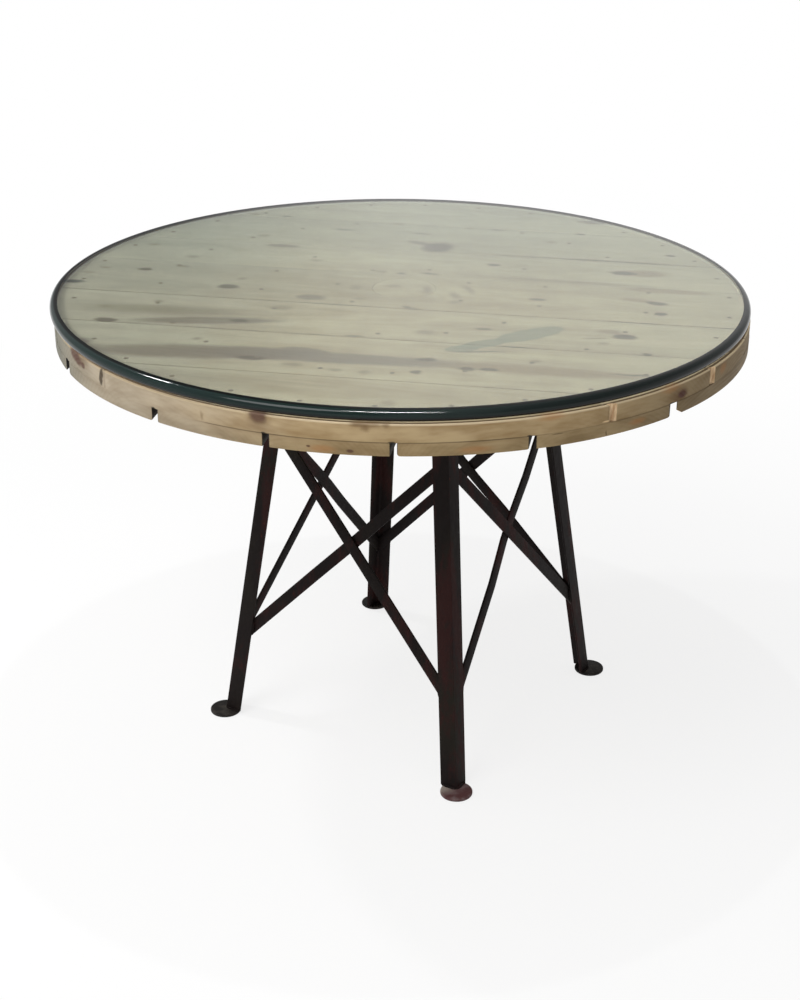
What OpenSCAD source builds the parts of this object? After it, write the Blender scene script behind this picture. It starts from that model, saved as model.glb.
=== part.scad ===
// Round table: a glass sheet on a disc of two crossed plank layers, carried by a
// leaning four-legged base of steel angle with a pair of crossed flat bars on each side.
// The origin is on the floor, under the middle of the glass. +Z is up and -Y is the front.

/* [Wooden disc] */
// Diameter of the disc
disc_d = 1137; // [1050:1:1180]
// Thickness of the upper planks
upper_t = 28; // [22:1:40]
// Thickness of the lower planks
lower_t = 20; // [15:1:35]
// Seam between two upper planks
upper_gap = 1.5; // [0.5:0.5:4]
// Gap between two lower planks
lower_gap = 9; // [4:1:16]
// Worn edge around the top and the underside of the disc
rim_chamfer = 2; // [0.5:0.5:5]
// Chamfer along the lower planks' underside edges
plank_chamfer = 3; // [0.5:0.5:6]
// Direction of the upper planks in plan
plank_turn = -10; // [-45:1:45]
// Diameter of the plug in the middle
plug_d = 105; // [60:1:140]

/* [Glass top] */
// Width by which the glass sheet is larger than the disc, on each side
glass_overhang = 3; // [0:1:40]
// Thickness of the glass sheet, whose whole edge is a half round
glass_t = 19; // [10:1:25]

/* [Nails] */
// Distance from the plug's edge to the first ring of nails
nail_ring_in = 60; // [40:1:80]
// Distance from the last ring of nails to the rim
nail_ring_out = 33; // [20:1:60]
// Distance between nails around a ring
nail_pitch = 105; // [80:1:160]
// Diameter of a nail's shank
nail_d = 3.4; // [2:0.1:5]
// Diameter of a nail's head
nail_head_d = 8; // [6:0.5:11]
// Thickness of a nail's head
nail_head_t = 1.2; // [0.8:0.1:2]
// Depth of the head below the wood
nail_sink = 0.4; // [0.1:0.1:1]
// Wood left under a nail's point
nail_cover = 3; // [1:0.5:8]
// Least distance from a nail to a seam or a gap
nail_margin = 9; // [8:0.5:14]

/* [Base] */
// Height of the steel base, which is the height of the disc's underside
base_h = 709; // [600:1:760]
// Distance between the outer corners of two neighbouring legs at the floor
foot_spread = 485; // [420:1:560]
// The same distance at the disc's underside
top_spread = 322; // [280:1:380]
// Direction of the first leg in plan
base_turn = 12.2; // [-45:0.1:45]
// Width of a leg's flange
leg_size = 30; // [25:1:40]
// Thickness of a leg's flange
leg_t = 4; // [3:0.5:6]
// Diameter of a foot disc
foot_d = 54; // [40:1:80]
// Thickness of a foot disc
foot_t = 6; // [3:0.5:10]

/* [Braces] */
// Width of a brace
brace_w = 20; // [14:1:28]
// Thickness of a brace
brace_t = 4; // [3:0.5:6]
// Height at which a brace's line meets the corner of its lower leg
brace_low = 140; // [100:5:200]
// Height at which it meets the corner of its upper leg
brace_high = 562; // [480:5:600]
// Distance from the crossing within which an inner brace bows over the outer one
brace_bow = 100; // [60:5:160]

/* [Top ring] */
// Width of a top bar
ring_w = 40; // [34:1:60]
// Thickness of a top bar
ring_t = 5; // [3:0.5:8]
// Distance between the two screws of a top bar
screw_pitch = 190; // [120:5:200]
// Diameter of a screw's shank
screw_d = 8; // [6:1:10]
// Length of a screw under its head
screw_l = 40; // [30:1:46]
// Width across the flats of a screw's head
screw_head_w = 13; // [10:1:17]
// Height of a screw's head
screw_head_h = 5.5; // [4:0.5:7]
// Outer diameter of a washer
washer_d = 22; // [18:1:26]
// Thickness of a washer
washer_t = 1.6; // [1:0.1:3]
// Clearance across a screw's hole in a washer or a top bar
screw_clear = 1; // [0.5:0.1:1.5]

/* [Hidden] */
$fn = 96;

// Places of the seams across the upper planks and of the gaps across the lower planks,
// from the middle of the disc. The outermost planks run out to the rim.
upper_seams = [-437, -258, -107, 76, 220, 392];
lower_gaps = [-463, -272, -95, 84, 268, 456];
// Place of each ring of nails, as a share of the way from the first ring to the last
nail_ring_share = [0, 0.29, 0.69, 1];
// The disc and the base sit a little off the middle of the glass
disc_shift = [3, -3];
base_shift = [20, -1];

leg_names = ["right", "back", "left", "front"];
side_names = ["back_right", "back_left", "front_left", "front_right"];
sides = [0:3];
upper_count = len(upper_seams) + 1;
lower_count = len(lower_gaps) + 1;

glass_colour = [0.62, 0.76, 0.72, 0.35];
wood_colour = [0.76, 0.66, 0.48];
plug_colour = [0.72, 0.62, 0.45];
nail_colour = [0.28, 0.25, 0.22];
steel_colour = [0.14, 0.09, 0.08];
foot_colour = [0.24, 0.20, 0.20];
screw_colour = [0.50, 0.50, 0.48];

// Heights of the layers
seam_z = base_h + lower_t;
wood_z = seam_z + upper_t;
ring_z = base_h - ring_t;
washer_z = ring_z - washer_t;
reach = 2 * disc_d;
glass_d = disc_d + 2 * glass_overhang;

// The base leans in from the floor to the disc's underside
rise = (foot_spread - top_spread) / 2 / base_h;
lean = atan(rise);
function half_side(z) = foot_spread / 2 - rise * z;

// Nails stand in rings. One is left out where a seam or a gap is too near.
function clear_of(v, lines) = min([for (l = lines) abs(v - l)]) > nail_margin;
first_ring = plug_d / 2 + nail_ring_in;
last_ring = disc_d / 2 - nail_ring_out;
NAILS = [for (share = nail_ring_share)
    let (r = first_ring + share * (last_ring - first_ring), count = round(2 * PI * r / nail_pitch))
    for (i = [0:count - 1])
        let (a = 360 * (i + 0.5) / count, x = r * cos(a), y = r * sin(a))
        if (clear_of(x, lower_gaps) && clear_of(y, upper_seams)) [x, y]];

module on_disc()
    translate([disc_shift.x, disc_shift.y, 0]) rotate(plank_turn) children();

module on_base()
    translate([base_shift.x, base_shift.y, 0]) rotate(base_turn + 45) children();

// ---------- glass ----------

module glass_top()
    color(glass_colour) translate([0, 0, wood_z]) rotate_extrude() {
        square([glass_d / 2 - glass_t / 2, glass_t]);
        translate([glass_d / 2 - glass_t / 2, glass_t / 2]) circle(glass_t / 2);
    }

// ---------- wooden disc ----------

module nail_at(p)
    translate([p.x, p.y, 0]) {
        translate([0, 0, base_h + nail_cover])
            cylinder(d = nail_d, h = wood_z - nail_sink - base_h - nail_cover);
        translate([0, 0, wood_z - nail_sink - nail_head_t]) cylinder(d = nail_head_d, h = nail_head_t);
    }

// Room for a nail, with its head's hole open at the top
module nail_hole(p) {
    nail_at(p);
    translate([p.x, p.y, wood_z - nail_sink]) cylinder(d = nail_head_d, h = 2 * nail_sink);
}

// A layer of the disc between two heights, chamfered at its outer edge
module layer(z0, z1, chamfer_below, chamfer_above) {
    r = disc_d / 2;
    rotate_extrude() polygon([[0, z0], [r - chamfer_below, z0], [r, z0 + chamfer_below],
        [r, z1 - chamfer_above], [r - chamfer_above, z1], [0, z1]]);
}

module plug_hole()
    translate([0, 0, base_h - 1]) cylinder(d = plug_d, h = lower_t + upper_t + 2);

// An upper plank fills the space between two seams and is cut round at the rim
module upper_plank(i) {
    y0 = i == 1 ? -reach : upper_seams[i - 2] + upper_gap / 2;
    y1 = i == upper_count ? reach : upper_seams[i - 1] - upper_gap / 2;
    color(wood_colour) difference() {
        on_disc() difference() {
            intersection() {
                layer(seam_z, wood_z, 0, rim_chamfer);
                translate([-reach, y0, seam_z - 1]) cube([2 * reach, y1 - y0, upper_t + 2]);
            }
            plug_hole();
            for (p = NAILS) if (p.y > y0 && p.y < y1) nail_hole(p);
        }
        on_base() screw_shanks();
    }
}

// A lower plank runs across the upper ones, with both its underside edges chamfered
module lower_plank(i) {
    x0 = i == 1 ? -reach : lower_gaps[i - 2] + lower_gap / 2;
    x1 = i == lower_count ? reach : lower_gaps[i - 1] - lower_gap / 2;
    c = plank_chamfer;
    color(wood_colour) difference() {
        on_disc() difference() {
            intersection() {
                layer(base_h, seam_z, rim_chamfer, 0);
                translate([0, reach, 0]) rotate([90, 0, 0]) linear_extrude(2 * reach)
                    polygon([[x0 + c, base_h], [x1 - c, base_h], [x1, base_h + c],
                        [x1, seam_z], [x0, seam_z], [x0, base_h + c]]);
            }
            plug_hole();
            for (p = NAILS) if (p.x > x0 && p.x < x1) nail_at(p);
        }
        on_base() screw_shanks();
    }
}

module centre_plug() {
    r = plug_d / 2;
    color(plug_colour) on_disc() rotate_extrude() polygon([[0, base_h], [r, base_h],
        [r, wood_z - rim_chamfer / 2], [r - rim_chamfer / 2, wood_z], [0, wood_z]]);
}

module plank_nails()
    color(nail_colour) on_disc() for (p = NAILS) nail_at(p);

// ---------- top ring and its screws ----------

// Every screw stands in the middle of a top bar's width, two to a bar
module at_screws()
    for (k = sides) rotate(90 * k) for (s = [-0.5, 0.5])
        translate([half_side(ring_z) - ring_w / 2, s * screw_pitch, 0]) children();

module screw_shanks()
    at_screws() translate([0, 0, washer_z]) cylinder(d = screw_d, h = screw_l);

module lag_screws()
    color(screw_colour) on_base() {
        screw_shanks();
        at_screws() translate([0, 0, washer_z - screw_head_h])
            cylinder(d = screw_head_w / cos(30), h = screw_head_h, $fn = 6);
    }

module screw_washers()
    color(screw_colour) on_base() at_screws() translate([0, 0, washer_z]) difference() {
        cylinder(d = washer_d, h = washer_t);
        translate([0, 0, -1]) cylinder(d = screw_d + screw_clear, h = washer_t + 2);
    }

// Four bars with mitred ends form the ring, flush with the legs' outer faces
module top_bar(k) {
    outer = half_side(ring_z);
    inner = outer - ring_w;
    color(steel_colour) on_base() difference() {
        rotate(90 * k) translate([0, 0, ring_z]) linear_extrude(ring_t)
            polygon([[outer, -outer], [outer, outer], [inner, inner], [inner, -inner]]);
        at_screws() translate([0, 0, ring_z - 1]) cylinder(d = screw_d + screw_clear, h = ring_t + 2);
    }
}

// ---------- legs and feet ----------

// The leaning four-sided form of the base, moved in by an inset
module tower(inset, z0, z1) {
    i = inset / cos(lean);
    intersection_for (turn = [0, 90]) rotate(turn) rotate([90, 0, 0])
        linear_extrude(2 * foot_spread, center = true)
            polygon([[i - half_side(z0), z0], [half_side(z0) - i, z0],
                [half_side(z1) - i, z1], [i - half_side(z1), z1]]);
}

// A square bar of space along the corner line that takes in both flanges of one leg
module leg_block() {
    spare = 5;
    translate([half_side(0), -half_side(0), 0])
        rotate([-asin(rise / sqrt(1 + 2 * rise * rise)), -lean, 0])
            translate([-leg_size, -spare, -leg_size])
                cube([leg_size + spare, leg_size + spare, 2 * base_h]);
}

module leg(k)
    color(steel_colour) on_base() rotate(90 * k) intersection() {
        difference() {
            tower(0, foot_t, ring_z);
            tower(leg_t, foot_t - 1, ring_z + 1);
        }
        leg_block();
    }

module foot_disc(k)
    color(foot_colour) on_base() rotate(90 * k)
        translate([half_side(0), -half_side(0), 0]) cylinder(d = foot_d, h = foot_t);

// ---------- braces ----------

// A side's own frame: X points out of the side, Y along it and Z up its slope
module on_side(k)
    on_base() rotate(90 * k) translate([half_side(0), 0, 0]) rotate([0, -lean, 0]) children();

// The space between the side's two legs, behind their flanges
module brace_space() {
    end_gap = 1;
    top = base_h / cos(lean);
    low = half_side(0) - leg_t - end_gap;
    high = low - top * sin(lean);
    translate([-leg_t - 2 * brace_t, 0, 0]) rotate([90, 0, 90]) linear_extrude(2 * brace_t)
        polygon([[-low, 0], [low, 0], [high, top], [-high, top]]);
}

// A flat bar from low on one leg to high on the other. A sprung bar bows over the one it crosses.
module brace(k, way, sprung) {
    low = [way * half_side(brace_low), brace_low / cos(lean)];
    high = [-way * half_side(brace_high), brace_high / cos(lean)];
    crossing = low.y + (high.y - low.y) * low.x / (low.x - high.x);
    half_l = norm(high - low);
    lift = sprung ? brace_t : 0;
    // Places along the bar, each with its lift off the flanges
    places = [[-half_l, 0], [-brace_bow, 0], [-brace_w, lift],
        [brace_w, lift], [brace_bow, 0], [half_l, 0]];
    outer_face = [for (p = places) [-leg_t - p[1], p[0]]];
    inner_face = [for (i = [len(places) - 1:-1:0]) outer_face[i] - [brace_t, 0]];
    color(steel_colour) intersection() {
        on_side(k) translate([0, 0, crossing]) rotate([atan2(high.y - low.y, high.x - low.x), 0, 0])
            linear_extrude(brace_w, center = true) polygon(concat(outer_face, inner_face));
        on_side(k) brace_space();
    }
}

// ---------- assembly ----------

glass_top();
for (i = [1:upper_count]) upper_plank(i);
for (i = [1:lower_count]) lower_plank(i);
centre_plug();
plank_nails();
for (k = sides) top_bar(k);
lag_screws();
screw_washers();
for (k = sides) leg(k);
for (k = sides) foot_disc(k);
for (k = sides) brace(k, 1, false);
for (k = sides) brace(k, -1, true);
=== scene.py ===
import math

import bmesh
import bpy
from mathutils import Matrix, Vector


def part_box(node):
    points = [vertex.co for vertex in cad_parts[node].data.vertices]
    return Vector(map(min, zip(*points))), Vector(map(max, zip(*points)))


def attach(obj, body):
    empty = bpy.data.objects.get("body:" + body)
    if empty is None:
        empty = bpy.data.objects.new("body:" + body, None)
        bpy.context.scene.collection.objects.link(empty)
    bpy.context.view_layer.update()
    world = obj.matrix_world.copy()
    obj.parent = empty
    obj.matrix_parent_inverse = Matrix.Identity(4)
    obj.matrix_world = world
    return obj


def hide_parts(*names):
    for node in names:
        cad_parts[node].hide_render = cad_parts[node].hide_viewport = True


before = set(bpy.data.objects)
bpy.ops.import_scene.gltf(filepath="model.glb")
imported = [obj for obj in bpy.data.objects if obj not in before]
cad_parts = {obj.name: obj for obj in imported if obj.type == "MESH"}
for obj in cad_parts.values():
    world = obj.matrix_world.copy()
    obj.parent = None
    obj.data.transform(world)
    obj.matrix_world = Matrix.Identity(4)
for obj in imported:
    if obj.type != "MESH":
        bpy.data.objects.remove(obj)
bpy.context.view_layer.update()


# ---------- Viewpoint ----------
# A standing person's view of the table from the front, looking down on its top. The camera is
# turned and rolled by about a degree, and its frame is shifted a little to one side.

lens = 60.497
film_height = 36
film_shift = -0.05
eye = (-0.0024, -2.6810, 1.6075)
look_down = math.radians(24.525)
look_aside = -0.0325
camera_roll = 0.0167

camera_data = bpy.data.cameras.new("viewpoint")
camera_data.lens = lens
camera_data.sensor_fit = "VERTICAL"
camera_data.sensor_height = film_height
camera_data.shift_x = film_shift
camera = bpy.data.objects.new("viewpoint", camera_data)
camera.matrix_world = (
    Matrix.Translation(eye)
    @ Matrix.Rotation(look_aside, 4, "Z")
    @ Matrix.Rotation(math.pi / 2 - look_down, 4, "X")
    @ Matrix.Rotation(camera_roll, 4, "Z")
)
bpy.context.scene.collection.objects.link(camera)
bpy.context.scene.camera = camera


# ---------- Foot discs ----------
# Four round plates cut from steel sheet, one welded under each leg. Their edges have worn
# round, and the paint on them has gone grey with dust and scuffs.

class Shade:
    """One value, colour or vector of a finish, wrapped so that sums can be written plainly."""

    def __init__(self, tree, socket):
        self.tree = tree
        self.socket = socket

    def node(self, kind, settings, sockets, out=0):
        """Adds a node. Its settings are set first, then the values or links of its sockets."""
        made = self.tree.nodes.new("ShaderNode" + kind)
        for name, value in settings.items():
            setattr(made, name, value)
        for name, value in sockets.items():
            if isinstance(value, Shade):
                self.tree.links.new(value.socket, made.inputs[name])
            else:
                made.inputs[name].default_value = value
        return Shade(self.tree, made.outputs[out])

    def maths(self, operation, *others):
        return self.node("Math", {"operation": operation}, dict(enumerate((self, *others))))

    def __add__(self, other):
        return self.maths("ADD", other)

    def __sub__(self, other):
        return self.maths("SUBTRACT", other)

    def __rsub__(self, other):
        return self.node("Math", {"operation": "SUBTRACT"}, {0: other, 1: self})

    def __mul__(self, other):
        return self.maths("MULTIPLY", other)

    def __truediv__(self, other):
        return self.maths("DIVIDE", other)

    def __abs__(self):
        return self.maths("ABSOLUTE")

    __radd__ = __add__
    __rmul__ = __mul__

    def length(self):
        return self.node("VectorMath", {"operation": "LENGTH"}, {0: self}, out=1)

    def split(self):
        """A vector's three values."""
        parts = self.node("SeparateXYZ", {}, {0: self}).socket.node
        return [Shade(self.tree, out) for out in parts.outputs]


def tint(red, green, blue):
    """A colour given as it looks on a screen, from 0 to 255, in the shader's own scale."""
    return tuple(((c / 255 + 0.055) / 1.055) ** 2.4 for c in (red, green, blue)) + (1,)


def given(tree, kind, name):
    """What a node without inputs gives at one of its outputs."""
    return Shade(tree, tree.nodes.new("ShaderNode" + kind).outputs[name])


def new_finish(name):
    """A new material, its shader and its Object coordinates."""
    material = bpy.data.materials.new(name)
    material.use_nodes = True
    tree = material.node_tree
    return material, tree.nodes["Principled BSDF"], given(tree, "TexCoord", "Object")


def mapped(place, at=(0, 0, 0), turn=0, size=(1, 1, 1)):
    """Coordinates about a place, turned about the vertical and measured in sizes."""
    return place.node(
        "Mapping",
        {"vector_type": "TEXTURE"},
        {"Vector": place, "Location": at, "Rotation": (0, 0, turn), "Scale": size},
    )


def grain(place, size, detail=2):
    """A soft random pattern from 0 to 1 whose patches have about this size in metres."""
    return place.node(
        "TexNoise", {}, {"Vector": mapped(place, size=size), "Scale": 1, "Detail": detail}
    )


def fade(value, start, end):
    """0 at start and 1 at end, with a soft way between. Start may be the larger one."""
    return value.node(
        "MapRange",
        {"interpolation_type": "SMOOTHSTEP"},
        {"Value": value, "From Min": start, "From Max": end},
    )


def blend(mask, first, second):
    return mask.node("Mix", {"data_type": "RGBA"}, {0: mask, 6: first, 7: second}, out=2)


def dress(shader, colour, roughness, relief, depth):
    """Feeds a finish's colour, roughness and relief to its shader. Depth is in metres."""
    tree = colour.tree
    bump = relief.node("Bump", {}, {"Height": relief, "Distance": depth})
    tree.links.new(colour.socket, shader.inputs["Base Color"])
    tree.links.new(roughness.socket, shader.inputs["Roughness"])
    tree.links.new(bump.socket, shader.inputs["Normal"])


def new_piece(name, bm, materials, smooth_below=35):
    """Turns a finished mesh into a piece. Edges blunter than the angle are shaded smooth."""
    mesh = bpy.data.meshes.new(name)
    bm.to_mesh(mesh)
    bm.free()
    for material in materials:
        mesh.materials.append(material)
    mesh.shade_smooth()
    mesh.set_sharp_from_angle(angle=math.radians(smooth_below))
    piece = bpy.data.objects.new(name, mesh)
    bpy.context.scene.collection.objects.link(piece)
    return piece


def round_edges(bm, edges, radius, steps=2):
    bmesh.ops.bevel(
        bm,
        geom=edges,
        offset=radius,
        offset_type="OFFSET",
        segments=steps,
        profile=0.5,
        affect="EDGES",
        clamp_overlap=True,
        material=-1,
    )


def raise_faces(bm, by):
    """Gives flat faces their thickness along a vector, with all faces outwards."""
    raised = bmesh.ops.extrude_face_region(bm, geom=bm.faces[:])
    lifted = [v for v in raised["geom"] if isinstance(v, bmesh.types.BMVert)]
    bmesh.ops.translate(bm, vec=by, verts=lifted)
    bmesh.ops.recalc_face_normals(bm, faces=bm.faces[:])


def sharp_edges(bm):
    """The edges where two faces meet at a clear corner."""
    return [e for e in bm.edges if e.calc_face_angle(0) > sharp_angle]


leg_names = ["right", "back", "left", "front"]
sharp_angle = math.radians(30)
foot_radius = (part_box("foot_disc_front")[1].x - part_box("foot_disc_front")[0].x) / 2
foot_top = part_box("foot_disc_front")[1].z
foot_edge = 0.0022
foot_steps = 64
front_foot_at = (0.09, -0.33, 0)
pale_patch_at = (0.066, -0.322, 0)

foot_finish, foot_shader, place = new_finish("scuffed_foot_steel")
dust = fade(grain(place, (0.02, 0.02, 0.02), 3), 0.4, 0.65)
scuffs = grain(place, (0.004, 0.004, 0.002), 3)
# The front foot has worn down to a mauve primer, with a pale grey patch on the left of its top
front_foot = fade(mapped(place, front_foot_at).length(), 0.09, 0.05)
foot_dark = blend(dust, tint(24, 21, 19), tint(50, 46, 42))
foot_mauve = blend(dust, tint(79, 47, 47), tint(106, 88, 88))
pale_patch = fade(mapped(place, pale_patch_at).length(), 0.034, 0.010)
foot_mauve = blend(pale_patch, foot_mauve, tint(150, 140, 132))
dress(
    foot_shader,
    blend(front_foot, foot_dark, foot_mauve),
    0.75 - 0.2 * scuffs,
    dust * 0.4 + scuffs,
    0.0003,
)
foot_shader.inputs["Specular IOR Level"].default_value = 0.2

for leg in leg_names:
    low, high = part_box("foot_disc_" + leg)
    bm = bmesh.new()
    bmesh.ops.create_circle(bm, cap_ends=True, segments=foot_steps, radius=foot_radius)
    raise_faces(bm, (0, 0, foot_top))
    round_edges(bm, sharp_edges(bm), foot_edge, steps=4)
    middle = ((low.x + high.x) / 2, (low.y + high.y) / 2, 0)
    bmesh.ops.translate(bm, vec=middle, verts=bm.verts[:])
    foot = new_piece("foot_plate_" + leg, bm, [foot_finish])
    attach(foot, "root")
    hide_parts("foot_disc_" + leg)


# ---------- Legs ----------
# Four leaning lengths of rolled steel angle with a fillet in the root and rounded toes. The
# black paint has worn thin over a red primer. Each is welded to its foot and to the top ring.

# The feet stand on a square whose corners point along the base's turn
base_place = Vector((0.020, -0.001, 0))
base_turn = math.radians(12.2 + 45)
base_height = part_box("lower_plank_4")[0].z
ring_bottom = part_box("top_bar_front_left")[0].z
half_at_floor = 0.485 / 2
half_at_top = 0.322 / 2
rise = (half_at_floor - half_at_top) / base_height
flange = 0.0302
flange_thick = 0.004
root_fillet = 0.0045
toe_round = 0.0022
corner_round = 0.0009


def half_side(z):
    return half_at_floor - rise * z


def on_base(quarter):
    """The base's own frame, turned by quarters about its middle."""
    turn = base_turn + quarter * math.pi / 2
    return Matrix.Translation(base_place) @ Matrix.Rotation(turn, 4, "Z")


steel_finish, steel_shader, place = new_finish("worn_black_over_red_primer")
patches = grain(place, (0.05, 0.05, 0.16), 3)
flakes = grain(place, (0.007, 0.007, 0.012), 4)
runs = grain(place, (0.006, 0.006, 0.09), 2)
primer = fade(patches + 0.25 * flakes + 0.12 * runs, 0.66, 0.84)
rust = fade(flakes + 0.3 * patches, 0.86, 0.98)
dull = fade(grain(place, (0.12, 0.12, 0.2), 2), 0.5, 0.7)
paint = blend(dull, tint(20, 13, 12), tint(27, 23, 17))
paint = blend(primer, paint, tint(43, 19, 17))
paint = blend(rust, paint, tint(70, 38, 28))
dress(steel_shader, paint, 0.55 + 0.25 * flakes, flakes + 0.5 * rust, 0.00025)
steel_shader.inputs["Specular IOR Level"].default_value = 0.13

leg_rise = ring_bottom - foot_top
for k, leg in enumerate(leg_names):
    bm = bmesh.new()
    corner = half_side(foot_top)
    outline = [
        (0, 0), (0, flange), (-flange_thick, flange),
        (-flange_thick, flange_thick), (-flange, flange_thick), (-flange, 0),
    ]
    rounds = [corner_round, 0, toe_round, root_fillet, toe_round, 0]
    verts = [bm.verts.new((corner + x, -corner + y, foot_top)) for x, y in outline]
    bm.faces.new(verts)
    for vert, radius in zip(verts, rounds):
        if radius:
            bmesh.ops.bevel(
                bm,
                geom=[vert],
                offset=radius,
                segments=4,
                profile=0.5,
                affect="VERTICES",
                material=-1,
            )
    raise_faces(bm, (-rise * leg_rise, rise * leg_rise, leg_rise))
    bmesh.ops.transform(bm, matrix=on_base(k), verts=bm.verts[:])
    piece = new_piece("angle_leg_" + leg, bm, [steel_finish])
    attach(piece, "root")
    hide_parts("leg_" + leg)


# ---------- Braces, top bars, washers and screws ----------
# Flat bars cut to length with a saw, so their shape is the frame's, with its sharp edges
# eased. The top bars are screwed up into the planks with hexagon lag screws on washers.

side_names = ["back_right", "back_left", "front_left", "front_right"]
same_place = 1e-6
flat_angle = math.radians(0.5)
bar_edge = 0.0006
screw_edge = 0.0005
washer_edge = 0.0002


def eased_copy(node, name, radius, material):
    """A copy of a frame piece with its flat faces made whole and its sharp edges rounded."""
    bm = bmesh.new()
    bm.from_mesh(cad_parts[node].data)
    bmesh.ops.remove_doubles(bm, verts=bm.verts[:], dist=same_place)
    bmesh.ops.dissolve_limit(bm, angle_limit=flat_angle, verts=bm.verts[:], edges=bm.edges[:])
    round_edges(bm, sharp_edges(bm), radius)
    piece = new_piece(name, bm, [material])
    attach(piece, "root")
    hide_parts(node)
    return piece


for side in side_names:
    outer = eased_copy("outer_brace_" + side, "brace_outer_" + side, bar_edge, steel_finish)
    inner = eased_copy("inner_brace_" + side, "brace_inner_" + side, bar_edge, steel_finish)
    bar = eased_copy("top_bar_" + side, "ring_bar_" + side, bar_edge, steel_finish)

screw_finish, screw_shader, place = new_finish("dull_zinc")
spangle = grain(place, (0.003, 0.003, 0.003), 2)
tarnish = fade(grain(place, (0.008, 0.008, 0.008), 3), 0.45, 0.65)
dress(
    screw_shader,
    blend(tarnish, tint(150, 150, 146), tint(104, 98, 90)),
    0.35 + 0.3 * tarnish,
    spangle,
    0.0001,
)
screw_shader.inputs["Metallic"].default_value = 1
screws = eased_copy("lag_screws", "hexagon_lag_screws", screw_edge, screw_finish)
washers = eased_copy("screw_washers", "round_washers", washer_edge, screw_finish)


# ---------- Weld beads ----------
# Short rippled beads of weld metal: two at each foot, two at each leg's top, and one where
# each end of a brace passes the edge of a leg's flange. They are painted with the base.

bead_radius = 0.0026
bead_ripple = 0.0022
ripple_height = 0.14
ripple_steps = 4
brace_bead = 0.026
brace_low = 0.140
brace_high = 0.562
brace_slope = (brace_high - brace_low) / (half_side(brace_low) + half_side(brace_high))
# A bead's middle lies this far off the plate, off a flange's outside or toe, or into its inside
bead_lift = 0.0005
bead_out = 0.0006
bead_off = 0.0008
bead_in = 0.001
# A bead at a foot or at the ring stops this far from the flange's toe and from its corner
toe_gap = 0.002
outer_gap = 0.001
inner_gap = 0.008


def lay_bead(bm, start, end):
    """A rippled bead along a line, thinner at both ends."""
    before = set(bm.verts)
    length = (end - start).length
    ripples = max(3, round(length / bead_ripple))
    steps = ripple_steps * ripples
    profile = []
    for i in range(steps + 1):
        share = i / steps
        taper = math.sin(math.pi * share) ** 0.35 if 0 < i < steps else 0
        swell = 1 + ripple_height * math.cos(2 * math.pi * ripples * share)
        profile.append(bm.verts.new((bead_radius * taper * swell, 0, share * length)))
    edges = [bm.edges.new(pair) for pair in zip(profile, profile[1:])]
    bmesh.ops.spin(
        bm,
        geom=profile + edges,
        cent=(0, 0, 0),
        axis=(0, 0, 1),
        angle=2 * math.pi,
        steps=10,
        use_merge=True,
    )
    turn = (end - start).to_track_quat("Z", "Y").to_matrix().to_4x4()
    laid = [v for v in bm.verts if v not in before]
    bmesh.ops.transform(bm, matrix=Matrix.Translation(start) @ turn, verts=laid)


for k, leg in enumerate(leg_names):
    bm = bmesh.new()
    here = on_base(k)
    lines = []
    toe = flange - toe_gap
    # At the foot the beads lie along the outsides of the flanges
    c = half_side(foot_top)
    z = foot_top + bead_lift
    out = c + bead_out
    lines.append(((out, -c + toe, z), (out, -c + outer_gap, z)))
    lines.append(((c - outer_gap, -out, z), (c - toe, -out, z)))
    # Under the ring they lie along the insides
    c = half_side(ring_bottom)
    z = ring_bottom - bead_lift
    inner = c - flange_thick - bead_in
    lines.append(((inner, -c + inner_gap, z), (inner, -c + toe, z)))
    lines.append(((c - inner_gap, -inner, z), (c - toe, -inner, z)))
    # At a brace they lie on the flange's inside, where the brace has come in by a flange's width
    edge = flange + bead_off
    inner = flange_thick - bead_in
    shift = flange * brace_slope
    for middle in (brace_low + shift, brace_high - shift):
        ends = [(half_side(z), z) for z in (middle - brace_bead / 2, middle + brace_bead / 2)]
        lines.append([(c - inner, -c + edge, z) for c, z in ends])
        lines.append([(c - edge, -c + inner, z) for c, z in ends])
    for start, end in lines:
        lay_bead(bm, here @ Vector(start), here @ Vector(end))
    bmesh.ops.remove_doubles(bm, verts=bm.verts[:], dist=same_place)
    bmesh.ops.recalc_face_normals(bm, faces=bm.faces[:])
    beads = new_piece("weld_beads_" + leg, bm, [steel_finish], smooth_below=60)
    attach(beads, "root")


# ---------- Lower planks ----------
# Seven softwood planks with open gaps between them, cut round together with the layer above.
# Their lower edges are planed round. The sawn rim shows their end grain at the front.

disc_place = Vector((0.003, -0.003, 0))
plank_turn = math.radians(-10)
on_disc = Matrix.Translation(disc_place) @ Matrix.Rotation(plank_turn, 4, "Z")
disc_radius = 0.5685
hole_radius = 0.0533
layer_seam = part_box("upper_plank_4")[0].z
wood_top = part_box("upper_plank_4")[1].z
lower_gaps = [-0.463, -0.272, -0.095, 0.084, 0.268, 0.456]
lower_gap = 0.009
plank_count = 7
last_plank = plank_count - 1
rim_steps = 360
shortest_rim_step = 0.007
close_by = 1e-5
corner_angle = math.radians(40)
# An edge counts as on the rim or on a face when it is nearer to it than this
margin = 0.001
rim_mark_depth = 8


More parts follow.
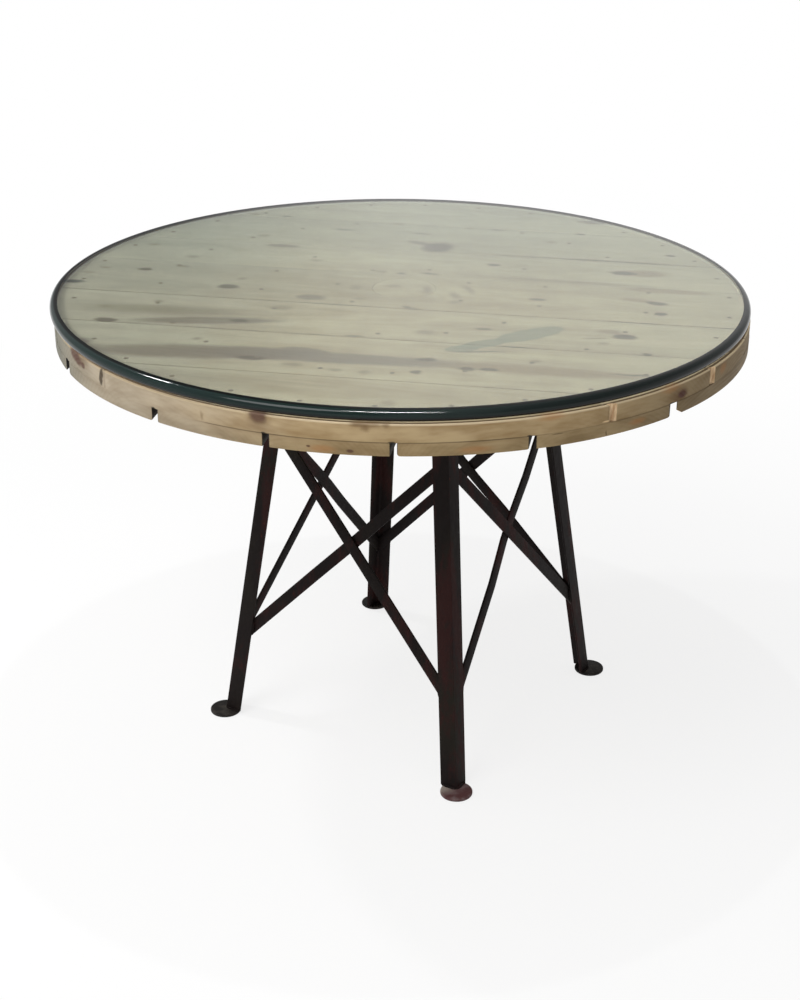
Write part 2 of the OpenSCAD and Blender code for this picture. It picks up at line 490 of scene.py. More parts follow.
def saw_plank(cuts, bottom, top, radius):
    """A plank sawn round at the rim. Each cut is a place on it and the way out of the plank."""
    bm = bmesh.new()
    if all(point.dot(out) > hole_radius for point, out in cuts):
        bmesh.ops.create_circle(bm, segments=rim_steps, radius=radius)
        bmesh.ops.create_circle(bm, segments=rim_steps // 3, radius=hole_radius)
        bmesh.ops.bridge_loops(bm, edges=bm.edges[:])
    else:
        bmesh.ops.create_circle(bm, cap_ends=True, segments=rim_steps, radius=radius)
    corners = {}
    for point, out in cuts:
        cut = bmesh.ops.bisect_plane(
            bm,
            geom=bm.verts[:] + bm.edges[:] + bm.faces[:],
            dist=same_place,
            plane_co=point,
            plane_no=out,
            clear_outer=True,
        )
        for corner in cut["geom_cut"]:
            if isinstance(corner, bmesh.types.BMEdge) or corner.co.length < radius - margin:
                continue
            for edge in corner.link_edges:
                other = edge.other_vert(corner)
                at_rim = other.co.length > radius - close_by
                if at_rim and edge.calc_length() < shortest_rim_step:
                    corners[other] = corner
    bmesh.ops.weld_verts(bm, targetmap=corners)
    bmesh.ops.translate(bm, vec=(0, 0, bottom), verts=bm.verts[:])
    raise_faces(bm, (0, 0, top - bottom))
    return bm


def corner_edges(bm, test):
    """The mesh's corner edges, where both ends pass a test."""
    return [
        e for e in bm.edges
        if e.calc_face_angle(0) > corner_angle and all(test(v.co) for v in e.verts)
    ]


def break_off(bm, point, out):
    """Breaks a piece off a plank. The torn face gets the plank's second finish."""
    cut = bmesh.ops.bisect_plane(
        bm,
        geom=bm.verts[:] + bm.edges[:] + bm.faces[:],
        dist=same_place,
        plane_co=point,
        plane_no=out,
        clear_outer=True,
    )
    rim = [e for e in cut["geom_cut"] if isinstance(e, bmesh.types.BMEdge)]
    for face in bmesh.ops.edgenet_fill(bm, edges=rim)["faces"]:
        face.material_index = 1


def on_rim(look, angle, height, wide, tall):
    """A mark on the rim, by its angle on the disc in degrees, its height and size in mm."""
    round_by = math.radians(angle)
    reach = 1000 * disc_radius
    at = (reach * math.cos(round_by), reach * math.sin(round_by), height)
    return (look, at, (wide / 2 + rim_mark_depth, wide / 2, tall / 2), angle)


# Each look: its colour, where it starts to fade and where it ends, its strength, and how much
# of the fibre shows in it
looks = {
    "knot": (tint(92, 72, 48), 0.5, 1.1, 0.9, 0.4),
    "faint": (tint(130, 110, 80), 0.2, 1.3, 0.6, 0.6),
    "grey": (tint(128, 110, 90), 0.55, 1.1, 0.85, 0.5),
    "brown": (tint(156, 130, 94), 0.5, 1.1, 0.7, 0.6),
    "smear": (tint(146, 144, 116), 0.9, 1.0, 0.8, 0),
    # Soot, and painted shadow at the tops of the open gaps below
    "soot_and_shadow": (tint(34, 26, 18), 0.4, 1.1, 0.95, 0),
    # Painted shade of a notch where a seam opens at the rim
    "slot_shade": (tint(74, 62, 46), 0.5, 1.1, 0.9, 0),
    "shade": (tint(104, 78, 46), 0.2, 1.2, 0.6, 0.4),
    "crack": (tint(88, 70, 46), 0.3, 1.2, 0.75, 0.6),
    "stain": (tint(84, 56, 44), 0.5, 1.15, 0.85, 0.4),
    "red knot": (tint(70, 34, 20), 0.4, 1.1, 0.95, 0.2),
    "warm": (tint(166, 112, 62), 0.2, 1.2, 0.5, 0.5),
    "torn": (tint(226, 196, 152), 0.6, 1.1, 0.9, 0.3),
}

# The sawn rim's colours: light, dark, the same two greyed by painted cool light, and in
# painted shade
upper_sawn = [
    tint(179, 156, 117), tint(147, 121, 82),
    tint(178, 164, 142), tint(152, 138, 116), tint(88, 74, 50),
]
lower_sawn = [
    tint(164, 142, 104), tint(132, 110, 74),
    tint(172, 158, 136), tint(148, 134, 112), tint(84, 70, 48),
]
sway_reach = (0.012, 0.007, 0)
ring_width = 0.0062
ring_slope = 0.05
# The rings bend round knots with a greater half length than this, in mm
bending_knot = 14


def lay_marks(board, across, marks):
    """Each mark's look and the distance from its middle, in half sizes of the mark.

    The second result is the place across the plank, bent so that the rings run round knots.
    """
    sway = board.node("TexNoise", {}, {"Vector": board, "Scale": 70, "Detail": 2}, out=1)
    sway = sway.node(
        "VectorMath", {"operation": "MULTIPLY_ADD"}, {0: sway, 1: sway_reach, 2: board}
    )
    spots = []
    bend = across
    for look, at, size, spin in marks:
        at = [a / 1000 + by / 2 for a, by in zip(at, sway_reach)]
        reach = mapped(sway, at, math.radians(spin), [s / 1000 for s in size]).length()
        spots.append((look, reach))
        if look == "knot" and size[0] > bending_knot:
            bend = bend - fade(reach, 3.2, 0.4) * 0.6 * (across - at[1])
    return spots, bend


def paint_marks(colour, spots, fibre):
    """Lays the marks over the wood's colour, with some of its fibre showing in them."""
    for look, reach in spots:
        shade, inner, outer, strength, fibrous = looks[look]
        mask = fade(reach, outer, inner) * strength
        if fibrous:
            mask = mask * (1 - fibrous * 0.5 + fibrous * fibre)
        colour = blend(mask, colour, shade)
    return colour


def pine(name, turn, ends, pith, tone, marks, top=None):
    """Softwood with growth rings about a pith line, fibres, and its own knots and stains.

    Turn is the plank's direction, and ends are its two edges across it. Pith is the ring
    centre's place across the plank and its height. A mark is its look, its place along,
    across and up and its half sizes in millimetres, and its turn in degrees. Top is the
    height of the face that has aged, on the planks that have one.
    """
    material, shader, place = new_finish(name)
    board = mapped(place, disc_place, turn)
    along, across, height = board.split()
    aside, back = place.split()[:2]
    from_rim = disc_radius - (along * along + across * across).maths("SQRT")
    spots, bend = lay_marks(board, across, marks)

    wander = grain(board, (0.7, 0.12, 0.12), 2)
    side = bend - pith[0] + 0.03 * wander
    below = height - pith[1] + ring_slope * along
    ring = ((side * side + below * below).maths("SQRT") / ring_width).maths("FRACT")
    late = fade(ring, 0.3, 0.9) * fade(ring, 1.0, 0.92)
    fibre = grain(board, (0.07, 0.0016, 0.0016), 3)
    blotch = grain(board, (0.05, 0.05, 0.03), 2)
    mottle = grain(place, (0.06, 0.06, 0.02), 3)

    # On the sawn rim, painted cool light greys the left and painted shade darkens the right.
    # The far left end is darker and greyer
    light, dark, grey_light, grey_dark, in_shade = upper_sawn if top else lower_sawn
    sawn = fade(0.95 * mottle + 0.05 * fibre + 0.02 * late - 0.5 * tone, 0.3, 0.75)
    cool_light_left = fade(aside + 0.1 * blotch, -0.05, -0.36)
    shaded = fade(aside, 0.22, 0.48) * 0.5
    far_left_grey = fade(aside, -0.42, -0.56) * 0.8
    colour = blend(sawn, light, dark)
    colour = blend(cool_light_left, colour, blend(sawn, grey_light, grey_dark))
    colour = blend(shaded, colour, in_shade)
    colour = blend(far_left_grey, colour, tint(96, 100, 92))

    # The top face is paler, and greyer towards the back. Painted reflection makes it paler
    # towards the right and painted cool light greys it at the left. A dark band lies just inside
    # the rim under the glass's edge, and a painted highlight makes a pale line on its arris
    if top:
        cloud = grain(board, (0.35, 0.035, 0.035), 3)
        depth = 0.06 * late + 0.3 * fibre + cloud + 0.5 * blotch - 0.42 - tone
        aged = blend(fade(depth, 0.0, 0.9), tint(214, 196, 160), tint(172, 150, 114))
        aged = blend(fade(back, -0.15, 0.45) * 0.4, aged, tint(178, 182, 164))
        # Painted reflection makes the top paler towards the right
        aged = blend(fade(aside, 0.15, 0.5) * 0.3, aged, tint(240, 226, 190))
        aged = blend(cool_light_left * 0.35, aged, tint(180, 184, 180))
        from_top = top - height
        # A dark band just inside the rim, under the glass's edge
        under_glass_band = fade(from_rim - 0.001 * fibre, 0.0075, 0.0055)
        aged = blend(under_glass_band, aged, tint(92, 72, 48))
        colour = blend(fade(from_top, 0.0022, 0.0008), colour, aged)
        # A painted highlight makes a pale line on the arris
        arris = fade(from_rim, 0.0028, 0.0016) * fade(from_top, 0.0032, 0.0018)
        arris = arris * (0.5 + 0.4 * fade(aside, -0.35, -0.05))
        colour = blend(arris, colour, tint(198, 178, 144))

    # Dirt lies along the upper seams, and painted shade darkens the sides of the open gaps below
    edge = abs(across - (ends[0] + ends[1]) / 2) + 0.0015 * fibre - (ends[1] - ends[0]) / 2
    strong = fade(grain(board, (0.12, 0.5, 0.5), 2), 0.4, 0.62)
    if top:
        dirt = fade(edge, -0.0012, 0.0008) * (0.15 + 0.75 * strong)
        dirt = dirt * (1 - 0.7 * fade(aside, 0.0, -0.25))
        colour = blend(dirt, colour, tint(96, 80, 62))
    else:
        # Painted shade on the sides of the open gaps
        colour = blend(fade(edge, -0.0006, 0.0002) * 0.95, colour, tint(22, 17, 12))
    joint = fade(abs(height - layer_seam), 0.0013, 0.0004) * fade(aside, -0.30, -0.26)
    joint = joint * (1 - 0.6 * fade(aside, 0.16, 0.22)) * (0.5 + 0.4 * strong)
    colour = blend(joint, colour, tint(74, 56, 36))
    colour = paint_marks(colour, spots, fibre)

    # The rim was sawn smooth
    relief = (0.6 * late + fibre) * (1 - 0.9 * fade(from_rim, 0.0030, 0.0014))
    dress(shader, colour, 0.62 + 0.15 * late, relief, 0.00035)
    shader.inputs["Specular IOR Level"].default_value = 0.3
    return material


fresh_finish, fresh_shader, place = new_finish("freshly_torn_pine")
splinters = grain(mapped(place, turn=plank_turn), (0.006, 0.003, 0.02), 3)
dress(
    fresh_shader,
    blend(fade(splinters, 0.3, 0.7), tint(232, 204, 162), tint(176, 134, 92)),
    0.7 + 0.1 * splinters,
    splinters,
    0.0008,
)

# The rounding of the lower edges at each gap, on its left and on its right
lower_rounds = [
    (0.003, 0.003), (0.004, 0.002), (0.0012, 0.0012),
    (0.0012, 0.0045), (0.003, 0.0012), (0.003, 0.003),
]
# Each plank's pith, by its place from the plank's middle and from its underside
lower_piths = [
    (0.03, -0.06), (-0.05, -0.07), (0.02, -0.08), (0.06, -0.09),
    (-0.03, -0.10), (0.04, -0.11), (-0.02, -0.12),
]
lower_tones = [0.10, 0.0, 0.10, 0.02, -0.05, 0.04, -0.05]
rim_round = 0.0012
rim_reach = 0.012
mark_reach = 0.02
# A corner of the last plank has broken off in two flakes, each at a place and facing a way
broken_flakes = [
    (Vector((0.0035, 0, 0)), Vector((-0.9, -0.35, -0.25))),
    (Vector((0.014, 0.006, 0)), Vector((-0.35, -0.35, -0.85))),
]
# Their angles are given as on the upper planks, which lie a quarter turn back
lower_marks = [
    on_rim(look, angle - 90, height, wide, tall)
    for look, angle, height, wide, tall in (
        ("warm", -91.4, 716, 46, 14),
        ("stain", -87.5, 715, 12, 6),
        ("stain", -93.4, 718, 7, 4),
        ("warm", -70.1, 717, 60, 12),
        ("crack", -58.0, 727, 26, 2),
        ("warm", -44.3, 720, 40, 12),
        ("crack", -50.0, 714, 3, 10),
    )
]
# The outermost planks have no seam on their outer side, so its place is set beyond the rim
beyond = 1

for i in range(plank_count):
    low, high = ([-disc_radius] + lower_gaps)[i], (lower_gaps + [disc_radius])[i]
    cuts = []
    if i > 0:
        low += lower_gap / 2
        cuts.append((Vector((low, 0, 0)), Vector((-1, 0, 0))))
    if i < last_plank:
        high -= lower_gap / 2
        cuts.append((Vector((high, 0, 0)), Vector((1, 0, 0))))
    bm = saw_plank(cuts, base_height, layer_seam, disc_radius)
    for point, out in cuts:
        radius = lower_rounds[i][0] if out.x > 0 else lower_rounds[i - 1][1]
        under = corner_edges(
            bm, lambda p: abs(p.z - base_height) < close_by and abs(p.x - point.x) < close_by
        )
        round_edges(bm, under, radius, steps=4)
    if i == last_plank:
        corner = Vector((low, -math.sqrt(disc_radius**2 - low**2), base_height))
        for by, out in broken_flakes:
            break_off(bm, corner + by, out)
    outer = [
        e for e in corner_edges(bm, lambda p: p.to_2d().length > disc_radius - rim_reach)
        if min(v.co.z for v in e.verts) < layer_seam - margin
    ]
    round_edges(bm, outer, rim_round)
    bmesh.ops.transform(bm, matrix=on_disc, verts=bm.verts[:])
    middle = (low + high) / 2
    near = (high - low) / 2 + mark_reach
    finish = pine(
        "lower_pine_%d" % (i + 1),
        plank_turn + math.pi / 2,
        (-high if i < last_plank else -beyond, -low if i > 0 else beyond),
        (-middle + lower_piths[i][0], base_height + lower_piths[i][1]),
        lower_tones[i],
        [m for m in lower_marks if abs(m[1][1] / 1000 + middle) < near],
    )
    piece = new_piece("lower_board_%d" % (i + 1), bm, [finish, fresh_finish])
    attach(piece, "root")
    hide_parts("lower_plank_%d" % (i + 1))


# ---------- Upper planks ----------
# Seven planks laid close together across the lower ones. Their top has greyed, with knots,
# dark heartwood streaks and old marks. Two corners at the rim have broken off.

# Each seam: its place across the disc where it comes to the left and to the right rim
upper_seams = [
    (-0.430, -0.433), (-0.259, -0.256), (-0.107, -0.107),
    (0.076, 0.076), (0.220, 0.220), (0.392, 0.392),
]
upper_gap = 0.0015
wood_wear = 0.0006
arris_round = 0.002
edge_ease = 0.0006
board_radii = [0.5685, 0.5678, 0.5685, 0.5680, 0.5684, 0.5679, 0.5685]
upper_piths = [
    (0.02, -0.05), (-0.04, -0.062), (0.05, -0.074), (-0.02, -0.05),
    (0.03, -0.062), (-0.05, -0.074), (0.01, -0.05),
]
upper_tones = [0.0, 0.06, 0.0, -0.02, 0.02, -0.05, 0.0]
# Two planks have a corner torn off, this far round the rim and this far along the plank's edge
torn_planks = (1, 2)
torn_round = 0.014
torn_along = 0.006
# A mark's half sizes are stretched by the first, and it has nearly faded out by the second
mark_spread = 1.15
fade_reach = 1.15
mark_depth = 16


def on_top(look, along, across, length, width, turn=0):
    """A mark on the top face, with its half length and half width in mm."""
    size = (mark_spread * length, mark_spread * width, mark_depth)
    return (look, (along, across, 1000 * wood_top), size, turn)


def reach_across(mark):
    """How far a mark reaches across the planks from its middle, in metres."""
    size, turn = mark[2:]
    slope = math.radians(turn)
    return math.hypot(size[0] * math.sin(slope), size[1] * math.cos(slope)) * fade_reach / 1000


def marks_between(marks, low, high):
    """The marks that reach into a strip between two places across the planks."""
    return [m for m in marks if low - reach_across(m) < m[1][1] / 1000 < high + reach_across(m)]


upper_marks = [
    on_top("brown", 389, 159, 40, 20),
    on_top("brown", 384, 9, 30, 10, -8),
    on_top("brown", 349, -158, 20, 10),
    on_top("grey", -14, 267, 32, 10, -25),
    on_top("faint", 268, 88, 150, 9, -1),
    on_top("grey", -250, -366, 178, 30, 6),
    on_top("grey", -59, -356, 230, 24, 2),
    on_top("grey", -163, -352, 70, 22, 4),
    on_top("grey", -94, -332, 40, 14, -5),
    on_top("brown", 262, -352, 160, 21, 0),
    on_top("grey", -267, -223, 115, 17, 10),
    on_top("faint", -340, -186, 150, 24, 4),
    on_top("brown", 429, 66, 80, 12),
    on_top("smear", 230, -194, 58, 21, 42),
    on_top("smear", 164, -252, 46, 14, 37),
    on_top("smear", 136, -279, 24, 13, 20),
    on_top("grey", 160, -288, 44, 4, 12),
    on_top("knot", 352, 156, 22, 13),
    on_top("knot", 223, -18, 15, 7),
    on_top("knot", 416, -2, 19, 10, -8),
    on_top("knot", 425, -56, 11, 9),
    on_top("knot", 374, -178, 21, 13),
    on_top("knot", 411, -252, 9, 5),
    on_top("crack", 331, -194, 22, 2, 10),
    on_top("faint", 343, -214, 9, 6),
    on_top("faint", 251, -314, 9, 7),
    on_top("faint", 291, 221, 19, 6),
    on_top("knot", 430, 277, 11, 7),
    on_top("knot", 262, 387, 9, 6),
    on_top("faint", 214, 323, 9, 7),
    on_top("grey", 281, 474, 26, 13),
    on_top("crack", 398, -345, 36, 4),
    on_top("crack", -169, 329, 22, 5),
    on_top("faint", -80, 388, 14, 9),
    on_top("crack", -26, 331, 18, 4),
    on_top("knot", 18, 247, 27, 34, -25),
    on_top("crack", 290, 224, 190, 3),
    on_top("crack", 109, 384, 15, 4),
    on_top("faint", 56, 387, 9, 6),
    on_top("knot", 130, 161, 13, 7),
    on_top("faint", -178, 127, 13, 8),
    on_top("crack", -18, 80, 9, 6),
    on_top("crack", 29, 87, 18, 5, -8),
    on_top("faint", -53, 84, 9, 7),
    on_top("crack", 22, -99, 10, 6, -30),
    on_top("faint", 34, -105, 14, 6),
    on_top("faint", -61, -69, 10, 6),
    on_top("faint", 88, -23, 9, 20, 20),
    on_top("faint", 93, -60, 11, 9),
    on_top("faint", -79, -12, 12, 16),
    on_top("faint", 107, 11, 7, 26, 25),
    on_top("grey", -140, -78, 25, 14),
    on_top("faint", 70, -215, 16, 12),
    on_top("crack", 156, -183, 14, 6),
    on_top("crack", -32, -253, 16, 4),
    on_top("faint", -31, -404, 12, 7),
    on_top("faint", 12, -406, 10, 10),
    on_top("knot", 86, -391, 9, 8),
    on_top("faint", -96, -393, 15, 9),
    on_top("faint", 68, -520, 11, 12),
    on_top("knot", 92, -336, 17, 9),
    on_top("knot", 155, -364, 13, 8),
    on_top("knot", 187, -361, 15, 7),
    on_top("faint", -356, 401, 9, 7),
    on_top("crack", -294, 400, 14, 5),
    on_top("faint", -305, 261, 12, 9),
    on_top("grey", -255, 203, 32, 10),
    on_top("faint", -482, 167, 12, 7),
    on_top("faint", -394, 106, 12, 7),
    on_top("faint", -520, 16, 11, 6),
    on_top("faint", -393, 47, 11, 6),
    on_top("knot", -450, 19, 13, 9),
    on_top("faint", -538, -16, 13, 7),
    on_top("soot_and_shadow", -548, -71, 24, 11, 6),
    on_top("faint", -275, -1, 9, 8),
    on_top("knot", -287, -49, 19, 12, 5),
    on_top("faint", -175, -141, 20, 12),
    on_top("faint", -374, -146, 10, 7),
    on_top("faint", -449, -187, 13, 7),
    on_top("knot", -427, -251, 19, 10),
    on_top("knot", -222, -216, 16, 9),
    on_top("knot", -163, -378, 24, 9),
    on_top("faint", -264, -310, 9, 7),
    on_rim("shade", -138.6, 748, 74, 26),
    on_rim("stain", -140.6, 752, 46, 26),
    on_rim("stain", -139.2, 745, 34, 18),
    on_rim("stain", -137.4, 743, 14, 12),
    on_rim("shade", -100.7, 750, 46, 38),
    on_rim("stain", -100.7, 756, 32, 30),
    on_rim("shade", -84.9, 755, 56, 12),
    on_rim("shade", -86.6, 755, 22, 10),
    on_rim("shade", -85.4, 750, 14, 14),
    on_rim("shade", -82.4, 754, 12, 9),
    on_rim("faint", -109.7, 738, 5, 16),
    on_rim("warm", -37.2, 752, 52, 14),
    on_rim("shade", -35.4, 740, 56, 30),
    on_rim("shade", -34.9, 738, 36, 22),
    on_rim("red knot", -34.5, 738, 28, 16),
    on_rim("shade", -36.0, 731, 12, 16),
    on_rim("warm", -59.1, 753, 50, 12),
    on_rim("torn", -49.6, 732, 26, 3),
    on_rim("warm", -22.4, 744, 30, 20),
    # Painted shade of a notch where a seam opens at the rim
    on_rim("slot_shade", -131.2, 750, 12, 22),
    on_rim("slot_shade", -131.4, 743, 12, 22),
    on_rim("slot_shade", -131.6, 737, 12, 18),
]
# A black mark at the top of each open gap below is painted shadow under the upper plank
for gap in lower_gaps:
    angle = math.degrees(math.atan2(-math.sqrt(disc_radius**2 - gap**2), gap))
    upper_marks.append(on_rim("soot_and_shadow", angle - 0.3, 1000 * layer_seam, 13, 5))

for i in range(plank_count):
    cuts = []
    for seam, way in ((i - 1, -1), (i, 1)):
        if 0 <= seam < last_plank:
            left, right = upper_seams[seam]
            out = Vector((left - right, 2 * disc_radius, 0)).normalized() * way
            cuts.append((Vector((0, (left + right) / 2, 0)) - out * upper_gap / 2, out))
    low = upper_seams[i - 1][1] + upper_gap / 2 if i > 0 else -disc_radius
    high = upper_seams[i][1] - upper_gap / 2 if i < last_plank else disc_radius
    radius = board_radii[i]
    top = wood_top - wood_wear
    bm = saw_plank(cuts, layer_seam, top, radius)
    if i in torn_planks:
        # The corner at the right has torn off along the grain
        corner = Vector((math.sqrt(radius**2 - low**2), low, 0))
        round_by = Vector((-corner.y, corner.x, 0)).normalized()
        first = corner + round_by * torn_round
        second = corner - Vector((torn_along, 0, 0))
        break_off(bm, first, (first - second).cross(Vector((0, 0, 1))))
    inner = radius - margin
    arris = corner_edges(bm, lambda p: abs(p.z - top) < close_by and p.to_2d().length > inner)
    round_edges(bm, arris, arris_round)
    sharp = corner_edges(bm, lambda p: p.z > layer_seam + margin or p.to_2d().length < inner)
    round_edges(bm, sharp, edge_ease)
    bmesh.ops.transform(bm, matrix=on_disc, verts=bm.verts[:])
    finish = pine(
        "upper_pine_%d" % (i + 1),
        plank_turn,
        (low if i > 0 else -beyond, high if i < last_plank else beyond),
        ((low + high) / 2 + upper_piths[i][0], layer_seam + upper_piths[i][1]),
        upper_tones[i],
        marks_between(upper_marks, low, high),
        top,
    )
    piece = new_piece("upper_board_%d" % (i + 1), bm, [finish, fresh_finish])
    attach(piece, "root")
    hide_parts("upper_plank_%d" % (i + 1))


# ---------- Centre plug ----------
# A round of the same softwood, turned to fill the hole in the middle of both layers. It sits a
# little below the planks, and its grain runs slightly askew to theirs.

plug_radius = 0.0525
plug_top = wood_top - 0.0004
plug_steps = 120
plug_edge = 0.001
plug_askew = 0.12
plug_pith = (0.01, layer_seam - 0.04)
plug_tone = 0.03
bm = bmesh.new()
bmesh.ops.create_circle(bm, cap_ends=True, segments=plug_steps, radius=plug_radius)
bmesh.ops.translate(bm, vec=(0, 0, base_height), verts=bm.verts[:])
raise_faces(bm, (0, 0, plug_top - base_height))
round_edges(bm, corner_edges(bm, lambda p: True), plug_edge)
bmesh.ops.transform(bm, matrix=on_disc, verts=bm.verts[:])
plug_finish = pine(
    "plug_pine",
    plank_turn + plug_askew,
    (-beyond, beyond),
    plug_pith,
    plug_tone,
    [on_top("faint", -18, 10, 14, 8), on_top("faint", 38, -6, 8, 22)],
    plug_top,
)
plug = new_piece("turned_plug", bm, [plug_finish])
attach(plug, "root")
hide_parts("centre_plug")


# ---------- Nails ----------
# Cut steel nails driven through both layers in rings. Their heads have gone dark with rust, and
# their edges are worn.

nail_edge = 0.0003
nail_finish, nail_shader, place = new_finish("rusted_nail")
rust = fade(grain(place, (0.002, 0.002, 0.002), 3), 0.35, 0.65)
dress(
    nail_shader,
    blend(rust, tint(116, 100, 80), tint(132, 108, 82)),
    0.6 + 0.3 * rust,
    rust,
    0.0001,
)
nail_shader.inputs["Specular IOR Level"].default_value = 0.2
nails = eased_copy("plank_nails", "driven_nails", nail_edge, nail_finish)


# ---------- Glass top ----------
# One round sheet of thick float glass, laid loose on the planks. Its whole edge is ground and
# polished round, and there the glass looks a deep green.

glass_low, glass_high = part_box("glass_top")
glass_radius = -glass_low.x
glass_middle = (glass_low.z + glass_high.z) / 2
glass_half = (glass_high.z - glass_low.z) / 2
edge_reach = 0.012
edge_fullness = 0.95
flat_end = glass_radius - edge_reach - 0.001
edge_steps = 32
round_steps = 256
glass_index = 1.52
glass_tint = (0.14, 0.38, 0.26, 1)
glass_density = 9


def let_light_through(shader, passing):
    """Lets light and shadow straight through a surface, and tints what crosses the glass."""
    tree = shader.id_data
    passing = given(tree, "LightPath", "Is Shadow Ray").maths("MAXIMUM", passing)
    passing = given(tree, "LightPath", "Is Diffuse Ray").maths("MAXIMUM", passing)
    clear = passing.node("BsdfTransparent", {}, {})
    mix = passing.node("MixShader", {}, {0: passing, 1: Shade(tree, shader.outputs[0]), 2: clear})
    depth = passing.node("VolumeAbsorption", {}, {"Color": glass_tint, "Density": glass_density})
    output = tree.nodes["Material Output"]
    tree.links.new(mix.socket, output.inputs["Surface"])
    tree.links.new(depth.socket, output.inputs["Volume"])


glass_finish, glass_shader, place = new_finish("green_float_glass")
glass_shader.inputs["Transmission Weight"].default_value = 1
glass_shader.inputs["Roughness"].default_value = 0
glass_shader.inputs["IOR"].default_value = glass_index
let_light_through(glass_shader, 0)

# Seen end on, the glass is a deep teal between its two faces, and painted shade makes it nearly
# black at the two faces
edge_finish, edge_shader, place = new_finish("polished_glass_edge")
side_on = (place.split()[2] - glass_middle) / glass_half
teal_and_shade = fade(side_on, -0.4, 0.0) * fade(side_on, 0.94, 0.84)
# Painted shade makes the teal darker towards the right
teal_and_shade = teal_and_shade * (0.4 + 0.6 * fade(place.split()[0], 0.3, -0.1))
drift = grain(place, (0.12, 0.12, 0.03), 2)
ripple = grain(place, (0.02, 0.02, 0.05), 2)
dress(
    edge_shader,
    blend(teal_and_shade * (0.55 + 0.6 * drift), tint(3, 6, 4), tint(28, 43, 41)),
    0.06 + 0.05 * ripple,
    ripple,
    0.00015,
)
edge_shader.inputs["Specular IOR Level"].default_value = 0.2
inside = given(edge_finish.node_tree, "NewGeometry", "Backfacing")
let_light_through(edge_shader, inside)

bm = bmesh.new()
profile = [(0, -glass_half), (flat_end, -glass_half)]
for i in range(edge_steps + 1):
    angle = math.pi * (i / edge_steps - 0.5)
    out, up = math.cos(angle), math.sin(angle)
    profile.append((
        glass_radius - edge_reach + edge_reach * max(0, out) ** edge_fullness,
        glass_half * math.copysign(abs(up) ** edge_fullness, up),
    ))
profile += [(flat_end, glass_half), (0, glass_half)]
verts = [bm.verts.new((x, 0, glass_middle + z)) for x, z in profile]
edges = [bm.edges.new(pair) for pair in zip(verts, verts[1:])]
bmesh.ops.spin(
    bm,
    geom=verts + edges,
    cent=(0, 0, 0),
    axis=(0, 0, 1),
    angle=2 * math.pi,
    steps=round_steps,
    use_merge=True,
)
bmesh.ops.remove_doubles(bm, verts=bm.verts[:], dist=same_place)
bmesh.ops.recalc_face_normals(bm, faces=bm.faces[:])
for face in bm.faces:
    if face.calc_center_median().to_2d().length > glass_radius - edge_reach:
        face.material_index = 1
glass = new_piece("glass_sheet", bm, [glass_finish, edge_finish], smooth_below=60)
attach(glass, "root")
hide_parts("glass_top")


# ---------- Floor and light ----------
# A pale floor that shows white, a sky that is brighter from the left, and four lamps: a large
# soft one at the front left, a strip in front, a window at the back left and one overhead.

def as_seen(tree):
    """1 for what is looked at, also in a mirror or through glass, and 0 for light itself."""
    seen = given(tree, "LightPath", "Is Camera Ray")
    seen = seen.maths("MAXIMUM", given(tree, "LightPath", "Is Glossy Ray"))
    return seen.maths("MAXIMUM", given(tree, "LightPath", "Is Transmission Ray"))


floor_radius = 40
floor_finish, floor_shader, place = new_finish("pale_floor")
floor_shader.inputs["Base Color"].default_value = (0.86, 0.86, 0.86, 1)
floor_shader.inputs["Roughness"].default_value = 0.9
floor_shader.inputs["Specular IOR Level"].default_value = 0
tree = floor_finish.node_tree
seen = as_seen(tree)
white = seen.node("Emission", {}, {"Color": (1, 1, 1, 1), "Strength": 1})
far_off = fade(place.length(), 0.5, 2.2)
whiteness = seen * (0.8 + 0.2 * far_off)
lit = Shade(tree, floor_shader.outputs[0])
pale = seen.node("MixShader", {}, {0: whiteness, 1: lit, 2: white})
tree.links.new(pale.socket, tree.nodes["Material Output"].inputs["Surface"])
bm = bmesh.new()
bmesh.ops.create_circle(bm, cap_ends=True, segments=64, radius=floor_radius)
floor = new_piece("floor", bm, [floor_finish])

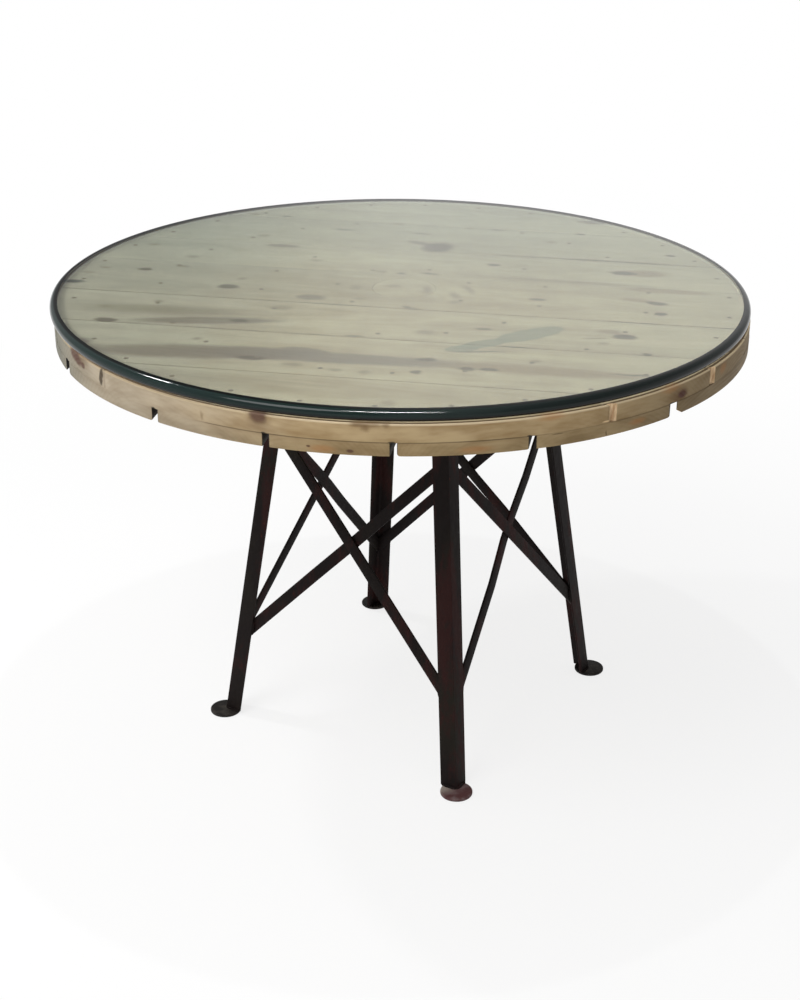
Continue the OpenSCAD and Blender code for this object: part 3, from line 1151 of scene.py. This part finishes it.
sky_level = 0.52
sky_slope = 0.3
room_level = 0.86
room_dim_left = 0.72
room_dim_sides = 0.4
world = bpy.data.worlds.new("studio")
world.use_nodes = True
bpy.context.scene.world = world
tree = world.node_tree
sky = tree.nodes["Background"]
sky.inputs["Color"].default_value = (1, 1, 1, 1)
aside = given(tree, "TexCoord", "Generated").split()[0]
seen = as_seen(tree)
mirrored = given(tree, "LightPath", "Is Glossy Ray")
level = sky_level - sky_slope * aside
# In a mirror the room is pale, but dimmer towards its two sides and dimmest just left of ahead
dim_left = fade(aside, 0.02, -0.16) * fade(aside, -0.6, -0.3)
dim_sides = fade(abs(aside), 0.25, 0.6) * fade(abs(aside), 0.97, 0.85)
room = room_level * (1 - room_dim_left * dim_left) * (1 - room_dim_sides * dim_sides)
shown = 1 - mirrored * (1 - room)
tree.links.new((seen * shown + (1 - seen) * level).socket, sky.inputs["Strength"])


def hang_lamp(name, at, aim, size, power):
    """A round or long lamp that shines from one place at another."""
    data = bpy.data.lights.new(name, "AREA")
    data.shape = "ELLIPSE"
    data.size, data.size_y = size
    data.energy = power
    lamp = bpy.data.objects.new(name, data)
    lamp.location = at
    lamp.rotation_euler = (Vector(aim) - Vector(at)).to_track_quat("-Z", "Y").to_euler()
    bpy.context.scene.collection.objects.link(lamp)
    return lamp


hang_lamp("soft_lamp", (-1.98, -2.12, 3.9), (0, 0, 0.6), (2.4, 2.4), 94)
# A thin strip that only draws a line of light along the glass's front edge
strip_lamp = hang_lamp(
    "strip_lamp", (-0.1, -1.41, 3.15), (-0.1, -0.4, 0.75), (1.1, 0.07), 85
)
strip_lamp.visible_diffuse = False
hang_lamp("far_window", (-1.90, 0.867, 2.97), (-0.34, -0.44, 0.78), (0.2, 0.34), 28)
# The lamp overhead lights the wood, and it doesn't show in the glass
ceiling_lamp = hang_lamp("ceiling_lamp", (0.02, 0.26, 3.1), (0, 0, 0.7), (0.07, 0.07), 15)
ceiling_lamp.visible_glossy = False
ceiling_lamp.visible_transmission = False

bpy.context.scene.view_settings.view_transform = "Standard"
